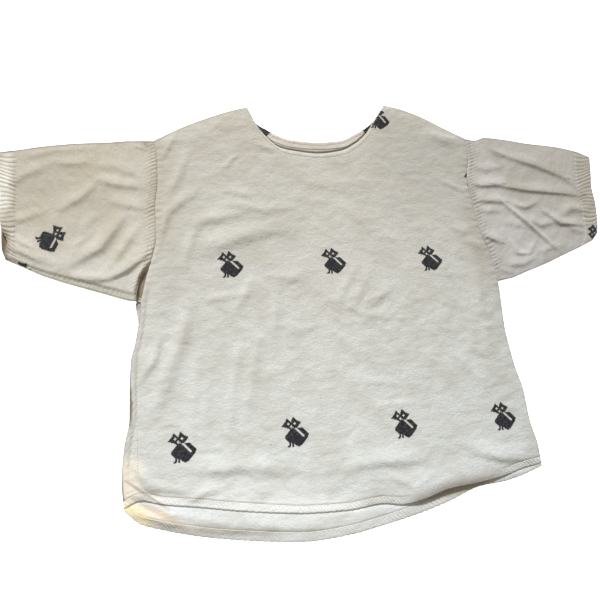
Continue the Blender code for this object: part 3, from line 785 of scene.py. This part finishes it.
def back_spacing(v):
    """Rows lie closer together where the back shows, at the hem and inside the neck."""
    return np.interp(v, (0, 0.25, 0.65, 1), (0, 0.08, 0.88, 1))


back_panel = lay_sheet("back_panel", 190, 150, lambda u, v: back_point(u, back_spacing(v)), body_grain,
                       inside_cotton, 1.0)
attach(back_panel, "root")
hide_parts("back")

# %% [markdown]
# ## The neck facing
# A narrow strip of the same cloth finishes the back neck on the inside, and shows through the neck. It
# could be offset from the back's edge by a modifier, but a line square to the edge keeps its depth even.

# %% Strip inside the back neck
FACING_DEPTH = 12.3


def facing_point(u, v):
    """u runs along the neck, and v from its edge to the strip's lower edge."""
    share = 0.04 + 0.92 * u
    edge = neck_edge(share, BACK_NECK)
    run = neck_edge(share + 0.002, BACK_NECK) - neck_edge(share - 0.002, BACK_NECK)
    run = run / np.linalg.norm(run, axis=1)[:, None]
    depth = 0.2 + FACING_DEPTH * v
    xy = edge + np.column_stack([run[:, 1], -run[:, 0]]) * depth[:, None]
    z = 1.62 + neck_lift(xy[:, 0], xy[:, 1]) - 0.2 * share_of((depth - 7) / 5)
    z = z + 0.2 * np.sin(np.pi * share_of(depth / 5)) - 0.12 * near(depth - 5, 0.9)
    z += 0.12 * puckers(u * 300, 7.0, 1.2) * near(depth - 6, 3)
    return np.column_stack([xy, z])


facing = lay_sheet("neck_strip", 190, 16, lambda u, v: facing_point(u, 1 - v), body_grain,
                   facing_cotton, 0.30)
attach(facing, "root")
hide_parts("neck_facing")

# %% [markdown]
# ## The sleeves
# Each sleeve is a wide tube pressed flat. Its armhole seam pulls the cloth into a row of small gathers,
# and the deep hem at the cuff does the same. The left one wraps its under-sleeve seam to the front.

# %% Creases of the sleeves
LEFT_CREASES = (
    (-376, 43, -346, 37, -318, 38, 2.0, 4, 9),
    (-324, 37, -296, 50, -260, 80, 3.2, 4, 14),
    (-380, 58, -334, 84, -300, 136, 3.0, 7, 16),
    (-322, 54, -302, 82, -284, 114, 1.8, 6, 9),
    (-322, 158, -300, 152, -260, 143, 1.2, 6, 11),
    (-342, 194, -316, 185, -260, 178, 1.6, 6, 11),
    (-348, 218, -310, 213, -262, 190, 1.1, 7, 11),
    (-464, 184, -444, 200, -412, 216, 1.5, 7, 10),
    (-390, 146, -364, 162, -344, 184, 1.8, 6, 11),
    (-464, 92, -438, 79, -406, 62, 2.2, 4, 9),
    (-455, 104, -436, 92, -420, 84, 1.2, 4, 6),
    (-460, 128, -440, 132, -415, 142, 1.2, 6, 9),
    (-400, 222, -380, 218, -350, 222, 1.2, 5, 9),
    (-440, 232, -400, 242, -350, 246, 1.4, 5, 7),
    (-288, 250, -278, 247, -266, 242, 1.4, 3, 4),
    (-360, 110, -350, 124, -336, 140, 1.0, 6, 9),
    (-372, 88, -356, 98, -344, 112, 1.0, 5, 8),
)
RIGHT_CREASES = (
    (252, 185, 270, 178, 304, 180, 2.2, 4, 12),
    (294, 180, 350, 169, 448, 160, 2.2, 4, 12),
    (256, 152, 280, 151, 304, 149, 2.4, 4.5, 12),
    (298, 154, 340, 112, 392, 58, 2.4, 3.4, 5),
    (320, 234, 375, 214, 426, 192, 2.4, 5, 15),
    (418, 195, 436, 182, 448, 168, 1.2, 5, 9),
    (373, 133, 400, 109, 443, 106, 2.4, 3.8, 9),
    (406, 124, 426, 136, 450, 133, 2.2, 7, 9),
    (258, 94, 272, 86, 288, 79, 2.8, 3.4, 10),
    (308, 80, 316, 59, 337, 58, 1.5, 3.4, 5),
    (336, 58, 342, 68, 352, 78, 1.0, 4, 5),
    (294, 40, 322, 40, 346, 52, 1.8, 4, 7),
    (280, 35, 292, 29, 308, 23, 1.6, 3.4, 5),
    (256, 137, 275, 133, 296, 135, 1.4, 5, 9),
    (316, 148, 342, 138, 368, 149, 1.5, 4.5, 7),
    (340, 119, 365, 107, 396, 113, 1.6, 5, 8),
    (296, 250, 308, 238, 328, 231, 1.4, 5, 7),
    (262, 216, 282, 208, 312, 212, 1.4, 6, 10),
    (412, 110, 424, 98, 440, 94, 1.2, 5, 7),
    (350, 60, 372, 66, 400, 72, 1.0, 5, 7),
    (300, 112, 318, 110, 340, 104, 0.8, 5, 9),
)
SLEEVE_CREASES = {"left": LEFT_CREASES, "right": RIGHT_CREASES}
print("creases of the sleeves", {side: len(table) for side, table in SLEEVE_CREASES.items()})

# %% [markdown]
# A sleeve has four edges too: armhole, cuff and two folds. The upper and the lower wall share them.

# %% Edges of a sleeve
def armhole_end(t, side):
    low, high = SLEEVE_LOWER[side][0], SLEEVE_UPPER[side][0]
    y = low + (high - low) * t
    armhole, under_body = (LEFT_ARMHOLE, 1.2) if side == "left" else (RIGHT_ARMHOLE, -1.2)
    return np.stack([curve(y, ARMHOLE_Y, armhole) + under_body, y], -1)


def cuff_end(t, side):
    low, high = SLEEVE_LOWER[side][-1], SLEEVE_UPPER[side][-1]
    return np.stack([curve(t, CUFF_ACROSS, CUFF_X[side]), low + (high - low) * t], -1)


def sleeve_fold(s, side, end):
    """The folded edge of the sleeve: end 0 is the lower one, 1 the upper one."""
    start, stop = (edge(np.array([float(end)]), side)[0, 0] for edge in (armhole_end, cuff_end))
    y = curve(s, SLEEVE_ALONG, (SLEEVE_UPPER if end else SLEEVE_LOWER)[side])
    return np.stack([start + (stop - start) * s, y], -1)


print("left cuff is", SLEEVE_UPPER["left"][-1] - SLEEVE_LOWER["left"][-1], "mm wide")

# %% [markdown]
# A round tube could be pressed flat by simulation. Here each point goes round the flat tube by itself:
# over the upper wall, round a narrow fold, and back along the table. Then the seams gather the cloth.

# %% Place the points of a sleeve
UPPER_SHARE, FOLD_RADIUS, SLEEVE_LENGTH = 0.74, 1.95, 215
CUFF_HEM = {"left": 21.0, "right": 27.0}


def sleeve_point(q, s, side):
    """q goes round the tube: the upper wall up to UPPER_SHARE, then back along the table."""
    on_top = q <= UPPER_SHARE
    share = np.where(on_top, q / UPPER_SHARE, (1 - q) / (1 - UPPER_SHARE))
    width = sleeve_fold(s, side, 1)[:, 1] - sleeve_fold(s, side, 0)[:, 1]
    inset = np.minimum(share, 1 - share)
    eased = np.where(inset < 0.06, inset ** 2 / 0.12, inset - 0.03) / 0.94
    t = np.where(share < 0.5, eased, 1 - eased)
    xy = span_edges(t, s, lambda k: armhole_end(k, side), lambda k: cuff_end(k, side),
                    lambda k: sleeve_fold(k, side, 0), lambda k: sleeve_fold(k, side, 1))
    x, y = xy[:, 0].copy(), xy[:, 1]
    from_fold = eased * width
    from_armhole, from_cuff = s * SLEEVE_LENGTH, (1 - s) * SLEEVE_LENGTH
    if side == "left":
        drawn_in = 9.5 * near(t - 0.14, 0.10) * share_of((s - 0.9) / 0.1)
        x += drawn_in * on_top * rise(from_fold, 3)
    corner = np.sqrt(np.clip(FOLD_RADIUS ** 2 - np.clip(FOLD_RADIUS - from_fold, 0, None) ** 2, 0, None))
    loose = rise(from_fold - FOLD_RADIUS)
    z = FOLD_RADIUS + corner + 1.5 * loose * (0.4 + 0.6 * np.sin(np.pi * np.clip(s, 0.08, 0.92)))
    ease = rise(from_armhole, 10) * rise(from_cuff + 4, 10)
    folds = 1.25 * creases(x, y, SLEEVE_CREASES[side])
    z += (folds + 0.4 * drift(x, y, 90) + 0.15 * drift(y, x, 40)) * loose * ease
    gap = np.zeros(len(x))
    if side == "left":
        gap = curve(y, ARMHOLE_Y, LEFT_ARMHOLE) - curve(y, UNDERARM_Y, LEFT_UNDERARM)
        gap = np.where(y < UNDERARM_Y[-1], gap, 0)
    # Gathers at the armhole and in the cuff's hem.
    past_gap = from_armhole - gap
    gather = near(past_gap - 5, 4.5) + 0.35 * near(past_gap - 13, 6)
    drawn = gathers(y + (0.5 if side == "left" else -0.4) * from_armhole, 6.0, 0.7) * rise(from_fold, 4)
    z += 0.62 * gather * drawn
    # Painted shade between the armhole's gathers.
    shade_paint = between(drawn) * share_of(gather)
    hem_width = CUFF_HEM[side]
    band = share_of((hem_width - from_cuff) / 1.5)
    hem_gather = band * 0.85 + 0.3 * near(from_cuff - hem_width, 2.5)
    if side == "right":
        hem_gather = hem_gather * share_of((y - 104) / 10)
    bend = 3.2 * np.sin(y / 17 + from_cuff / 9) + 0.2 * from_cuff
    drawn = gathers(y + bend, 6.6, 1.9) * rise(from_fold, 4)
    z += 0.6 * hem_gather * drawn
    # Painted shade between the cuff's gathers.
    shade_paint += between(drawn) * share_of(hem_gather)
    z = z + 0.3 * band - 0.2 * near(from_cuff - hem_width + 1.5, 1.3)
    if side == "left":
        z -= 0.5 * share_of((y - 232) / 8) * near(from_armhole - 14, 5) * rise(from_fold, 3)
        # The under-sleeve seam, wrapped to the front as a narrow gathered band.
        band_width = curve(s, (0, 0.4, 0.7, 0.9, 1), (11, 9.5, 7.5, 5, 3))
        from_lower = np.where(t < 0.5, from_fold, 200.0)
        past_band = from_lower - band_width
        lower_band = 1.4 * share_of((s - 0.02) / 0.05)
        z -= lower_band * share_of(0.5 - past_band / 5.0) * (from_lower < 100)
        in_band = near(from_lower - 0.6 * band_width, 0.45 * band_width)
        drawn = gathers(x - 0.5 * from_lower, 5.6, 2.2) * rise(from_fold, 2)
        z += 0.5 * in_band * drawn
        # Painted shade between the band's gathers and along its edge.
        shade_paint += 0.7 * between(drawn) * in_band * rise(from_fold, 2)
        shade_paint += 0.6 * near(past_band + 0.5, 0.8) * (s > 0.05)
    # Painted shade along the upper fold of the sleeve.
    shade_paint += (1.7 if side == "left" else 1.3) * (t > 0.5) * near(from_fold, 2.6)
    z += 2.2 * share_of(gap / 6) * near(past_gap - 3, 7)
    # The armhole seam lies low, beside the body.
    seam_level = np.where(gap > 0.5, 1.2, 2.55) * rise(from_fold, 3)
    z = np.where(past_gap < 3, seam_level + (z - seam_level) * share_of(past_gap / 3) ** 0.7, z)
    under = FOLD_RADIUS - corner
    return np.column_stack([x, y, np.where(on_top, np.maximum(z, under), under), shade_paint * on_top])


def sleeve_spacing(v):
    """Rows lie closer together at armhole and cuff."""
    return np.interp(v, (0, 0.10, 0.84, 1), (0, 0.07, 0.87, 1))


print("one sleeve is", SLEEVE_LENGTH, "mm long")

# %% [markdown]
# The weave runs along each sleeve's own middle line, so the map is turned with it. One function makes
# both sleeves, and the right one goes round the other way, so that its wall also faces outward.

# %% Two sleeves
SLEEVE_GRAIN = {"left": np.radians(23 - 90), "right": np.radians(157 - 90)}


def make_sleeve(name, side, node_name):
    turn = SLEEVE_GRAIN[side]

    def grain(x, y):
        return np.column_stack([x * np.cos(turn) + y * np.sin(turn), y * np.cos(turn) - x * np.sin(turn)])

    def place(u, v):
        around = u if side == "left" else 1 - u
        return sleeve_point(around, sleeve_spacing(v), side)

    piece = lay_sheet(name, 300, 136, place, grain, sleeve_cottons[side], 0.8, close=True)
    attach(piece, "root")
    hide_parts(node_name)
    return piece


left_sleeve = make_sleeve("left_sleeve_tube", "left", "sleeve_left")
right_sleeve = make_sleeve("right_sleeve_tube", "right", "sleeve_right")

# %% [markdown]
# ## Turned-up hems
# Both hems are rolled twice and stitched. The rolled edge is thicker than the cloth, and the stitches
# draw it into a fine slanting rope. A bevel could round the edge, but only a strip bent round the edge
# of its own panel can carry the rope, and can turn under where the hem is pushed up.

# %% Rolled hem along an edge
HEM_LENGTH, PROFILE_DEPTH = 640, 8.0
HEM_PROFILE_IN = (8.6, 8.1, 7.3, 6.0, 4.4, 2.8, 1.4, 0.5, -0.2, -0.4, -0.2, 1.2)
HEM_PROFILE_UP = (-0.15, -0.1, 0.0, 0.1, 0.22, 0.33, 0.38, 0.33, 0.05, -0.3, -0.55, -0.62)


def hem_strip(name, surface, length, depth, strength, turned, material):
    """Bends a strip round a hem. surface(u, v) gives the panel's points and length is the panel's own.
    strength and turned say, from x, how strong the gathers are and how far the hem is turned under."""
    def place(u, v):
        station = v * (len(HEM_PROFILE_IN) - 1)
        inward = np.interp(station, range(len(HEM_PROFILE_IN)), HEM_PROFILE_IN) * depth / PROFILE_DEPTH
        lift = np.interp(station, range(len(HEM_PROFILE_UP)), HEM_PROFILE_UP)
        along = u * HEM_LENGTH
        inward = inward + 0.35 * puckers(along, 9.5, 0.3) * near(inward, 3)
        edge = surface(u, np.zeros(len(u)))[:, :3]
        inner = surface(u, np.full(len(u), 2.0 / length))[:, :3]
        point = surface(u, np.clip(inward, 0, None) / length)[:, :3]
        outward = (edge - inner) / 2.0
        outward[:, 2] = 0
        point = point + outward * np.clip(-inward, 0, None)[:, None]
        rope = gathers(along + 0.9 * inward, 5.4, 0.8) * np.sin(np.pi * share_of(inward / depth)) ** 0.7
        drawn, under = strength(point[:, 0]), turned(point[:, 0])
        point[:, 2] += lift + 0.36 * rope * drawn - 1.9 * under
        # The fourth number is painted shade: between the rope's gathers, and where the hem is turned under
        # and faces away from the sun.
        return np.column_stack([point, np.clip(0.45 * between(rope) * drawn + 1.25 * under, 0, 1.3)])

    piece = lay_sheet(name, HEM_LENGTH, 22, place, body_grain, material, 0.25)
    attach(piece, "root")
    return piece


GATHER_X = (-300, -270, -200, 0, 15, 90, 105, 222, 232, 300)
FRONT_GATHER = (1.6, 0.9, 0.7, 0.9, 1.8, 1.8, 0.3, 0.3, 2.4, 2.0)
BACK_GATHER = (1.6, 1.5, 0.8, 0.6, 0.9, 1.2, 1.2, 1.0, 0.6, 0.6)
front_hem = hem_strip("front_hem_roll", front_point, FRONT_LENGTH, 8.0,
                      lambda x: curve(x, GATHER_X, FRONT_GATHER), lambda x: curve(x, HEM_X, FRONT_TURN),
                      front_cotton)
back_hem = hem_strip("back_hem_roll", back_point, BACK_LENGTH, 10.5,
                     lambda x: curve(x, GATHER_X, BACK_GATHER), lambda x: np.zeros(len(x)), inside_cotton)

# %% [markdown]
# ## Stitching
# A thread lies on the cloth as a row of short low arches. A shrinkwrapped curve could follow the cloth,
# but it would also follow each gap, so the height under every stitch is read with a ray from above.

# %% Reading the cloth's height
graph = bpy.context.evaluated_depsgraph_get()


def surface_of(*pieces):
    return [(piece.name, BVHTree.FromObject(piece, graph)) for piece in pieces]


def drop(surfaces, x, y, only=None):
    """Height and slope of the first cloth under a plan point, or None off the cloth."""
    best = None
    above = Vector(((x - MIDDLE[0]) * MM, (y - MIDDLE[1]) * MM, 0.06))
    for name, tree in surfaces:
        hit, normal, _, _ = tree.ray_cast(above, Vector((0, 0, -1)))
        if hit is not None and (best is None or hit.z > best[1].z):
            best = (name, hit, normal)
    if best is None or (only and best[0] not in only):
        return None
    return best[1], best[2]


on_front = surface_of(front, front_hem)
on_back = surface_of(back_panel, back_hem)
on_facing = surface_of(facing, back_panel, front)
on_sleeves = surface_of(left_sleeve, right_sleeve)
print("cloth height in the middle, mm", round(drop(on_front, 0, 0)[0].z / MM, 2))

# %% [markdown]
# Each row of stitches is one piece of thread, laid along a line drawn in plan. A stitch that would bridge
# a fold is left out, because a real one would lie inside the fold.

# %% Row of stitches
STITCH, STITCH_GAP, THREAD = 2.7, 1.0, 0.30


def thread_piece(name, verts, faces, material):
    mesh = bpy.data.meshes.new(name)
    mesh.from_pydata(verts, [], faces)
    mesh.materials.append(material)
    piece = bpy.data.objects.new(name, mesh)
    bpy.context.scene.collection.objects.link(piece)
    return piece


def thread_row(name, surfaces, path, only=None):
    """Stitches along a plan path given as an array of points in millimetres."""
    length = np.concatenate(([0], np.cumsum(np.hypot(*np.diff(path, axis=0).T))))
    verts, faces = [], []
    for start in np.arange(0, length[-1] - STITCH, STITCH + STITCH_GAP):
        rings = []
        for share, lift in ((0.0, -0.1), (0.25, 0.28), (0.75, 0.28), (1.0, -0.1)):
            at = start + STITCH * share
            x, y = np.interp(at, length, path[:, 0]), np.interp(at, length, path[:, 1])
            found = drop(surfaces, x, y, only)
            if found is None:
                break
            rings.append((found[0], found[1], lift))
        if len(rings) < 4 or max(abs(rings[i][0].z - rings[i + 1][0].z) for i in range(3)) > 0.0015:
            continue
        run = (rings[3][0] - rings[0][0]).normalized()
        base = len(verts)
        for spot_on, normal, lift in rings:
            side = run.cross(normal).normalized() * THREAD * MM
            out = normal * THREAD * MM
            middle = spot_on + normal * lift * MM
            verts += [middle + side, middle + out, middle - side, middle - out]
        for ring in range(3):
            for k in range(4):
                a = base + ring * 4 + k
                b = base + ring * 4 + (k + 1) % 4
                faces.append((a, b, b + 4, a + 4))
        faces += [(base + 3, base + 2, base + 1, base), (base + 12, base + 13, base + 14, base + 15)]
    row = thread_piece(name, verts, faces, sewing_thread)
    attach(row, "root")
    print(name, len(faces) // 14, "stitches")
    return row


print("a stitch is", STITCH, "mm long")

# %% [markdown]
# The rows run where the machine ran: along both hems and cuffs, round the neck and its facing, down the
# side seam, and beside each armhole. Where a fold hides a row, it stops.

# %% Rows of the body
def along_front(shares, from_edge, top=False):
    v = np.full(len(shares), 1 - from_edge / FRONT_LENGTH if top else from_edge / FRONT_LENGTH)
    return front_point(shares, v)[:, :2]


hem_shares = np.linspace(0.01, 0.99, 300)
back_line = back_point(hem_shares, np.full(300, 10.7 / BACK_LENGTH))[:, :2]
facing_line = facing_point(np.linspace(0.02, 0.98, 160), np.full(160, 5.0 / FACING_DEPTH))[:, :2]
side_y = np.linspace(52, -232, 150)
rows = [
    thread_row("front_hem_stitches", on_front, along_front(np.linspace(0.02, 0.65, 200), 8.3)),
    thread_row("front_hem_stitches_right", on_front, along_front(np.linspace(0.885, 0.985, 40), 8.3)),
    thread_row("neck_stitches", on_front, along_front(np.linspace(0.29, 0.66, 170), 7.4, top=True)),
    thread_row("side_stitches", on_front, np.column_stack([-285 - 0.02 * (side_y + 60), side_y])),
]
back_rows = [thread_row("back_hem_stitches", on_back, back_line)]
facing_rows = [thread_row("facing_stitches", on_facing, facing_line, ("neck_strip",))]


# %% Rows of the sleeves
def sleeve_row(side, end, s):
    line = sleeve_point(np.linspace(0.03, 0.97, 80) * UPPER_SHARE, np.full(80, s), side)[:, :2]
    return thread_row(f"{side}_{end}_stitches", on_sleeves, line)


left_rows, right_rows = (
    [sleeve_row(side, "cuff", 1 - (CUFF_HEM[side] - 1.5) / SLEEVE_LENGTH),
     sleeve_row(side, "armhole", 10.5 / SLEEVE_LENGTH)]
    for side in ("left", "right")
)

# %% [markdown]
# ## Woven cats
# Small seated cats are woven into the cloth with a dark extra thread, in rows that step half a repeat
# from one to the next. The chart is read as a weaver reads it: a row of letters is one pass of the
# thread, and each x is a place where the dark thread floats on the face of the cloth.

# %% Chart of one seated cat
CAT = (
    ".............x...............",
    "......x.....xxx..............",
    ".....xxx....xxxx.............",
    ".....xxxx..xxxxxx............",
    "....xxxxxx.xxxxxxxx..........",
    "...xxxx.xxxxxx.xxxxxx........",
    "..xxxx...xxxx...xxxxx........",
    ".xxxxxx.xxxxxx.xxxxx.........",
    "xxxxxxxxxx.xxxxxxxx..........",
    "...xxxxxx...xxxxxx...........",
    "......xxxx.x.xxxx............",
    "........xxxxxx...xxxxxx......",
    ".........xxxxxx...xxxxxx.....",
    "........xxxxxxxx...xxxxxx....",
    ".......xxxxxxxxxx...xxxxxx...",
    "......xxxxxxxxxxxx...xxxxxx..",
    ".....xxxxxxxxxxxxxx...xxxxxx.",
    "....xxxxxxxxxxxxxxxx...xxxxxx",
    "...xxxxxxxxxxxxxxxxxx...xxxxx",
    "...xxxxxxxxxxxxxxxxxxx..xxxx.",
    "...xxxxxxxxxxxxxxxxxxxxxxxxx.",
    "....xxxxxxxxxxxxxxxxxxxxxxx..",
    ".....xxxxxxxxxxxxxxxxxxxxx...",
    "......xxxxxxxxxxxxxxxxxxx....",
    ".......xxxxxxxxxxxxxxxxx.....",
    ".......xx.xxxxxxxxxxxxx......",
    ".......xx.xx.xxxxxxxxx.......",
    "......xxx.xx..xxxxxxx........",
    ".....xxx..xx....xxx..........",
)
CAT_WIDTH, CAT_HEIGHT = 38.0, 41.0
print("chart of", len(CAT[0]), "by", len(CAT), "threads")

# %% [markdown]
# The cats could be coloured into the cloth's material, but a float is a thread that lies on the cloth
# and catches the light. So each run of x becomes a low arched band that follows the cloth under it.

# %% Weave one cat
def weave_cat(name, surfaces, only, centre, turn):
    """Lays the dark floats of one cat on the cloth. centre is the middle of its box in plan."""
    pitch_x, pitch_y = CAT_WIDTH / len(CAT[0]), CAT_HEIGHT / len(CAT)
    cos, sin = np.cos(np.radians(turn)), np.sin(np.radians(turn))
    verts, faces = [], []

    def float_point(across, up_by, lift):
        x = centre[0] + across * cos - up_by * sin
        y = centre[1] + across * sin + up_by * cos
        found = drop(surfaces, x, y, only)
        return None if found is None else found[0] + found[1] * lift * MM

    for row, passes in enumerate(CAT):
        up_by = CAT_HEIGHT / 2 - (row + 0.5) * pitch_y
        for run in re.finditer("x+", passes):
            column, stop = run.span()
            count = max(2, int(np.ceil((stop - column) / 0.8)) + 1)
            previous = None
            for across in np.linspace(column, stop, count):
                place_x = across * pitch_x - CAT_WIDTH / 2
                ring = [float_point(place_x, up_by + side * pitch_y * 0.5, lift)
                        for side, lift in ((-0.96, 0.22), (0.0, 0.45), (0.96, 0.22))]
                if None in ring:
                    previous = None
                    continue
                first = len(verts)
                verts += ring
                if previous is not None:
                    faces += [(previous, first, first + 1, previous + 1),
                              (previous + 1, first + 1, first + 2, previous + 2)]
                previous = first
    cat = thread_piece(name, verts, faces, motif_thread)
    for polygon in cat.data.polygons:
        if polygon.normal.z < 0:
            polygon.flip()
    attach(cat, "root")
    print(name, len(faces) * 2, "triangles")
    return cat


# %% [markdown]
# Each cat is laid at its place in plan, and stops where its own panel ends. The ones at the inside neck
# are woven into facing and back, and those of the sleeves are turned with the sleeve's weave.

# %% Cats in their places
CAT_PLACES = (
    ("chest_left", -147.5, 54.5, 1), ("chest_middle", 10, 55.5, 1), ("chest_right", 166, 55.5, 1),
    ("hem_left", -223, -203.5, 1), ("hem_second", -66.5, -194.5, 1), ("hem_third", 94, -194.5, 1),
    ("hem_right", 249, -194.5, 1), ("shoulder_right", 108, 302, -10), ("armhole_right", 263.0, 187.5, 1),
)
front_cats = [
    weave_cat("cat_" + place, on_front, ("front_panel",), (x, y), turn)
    for place, x, y, turn in CAT_PLACES
]
facing_cats = [
    weave_cat(name, on_facing, ("neck_strip", "back_panel"), centre, 1)
    for name, centre in (("cat_inside_left", (-89, 287)), ("cat_inside_right", (92, 289)))
]
left_cats = [
    weave_cat(name, on_sleeves, ("left_sleeve_tube",), centre, -67)
    for name, centre in (("cat_left_sleeve", (-400.5, 100)), ("cat_left_fold", (-446.5, 46.5)))
]
right_cats = [
    weave_cat("cat_right_cuff", on_sleeves, ("right_sleeve_tube",), (469.5, 94), 72),
]
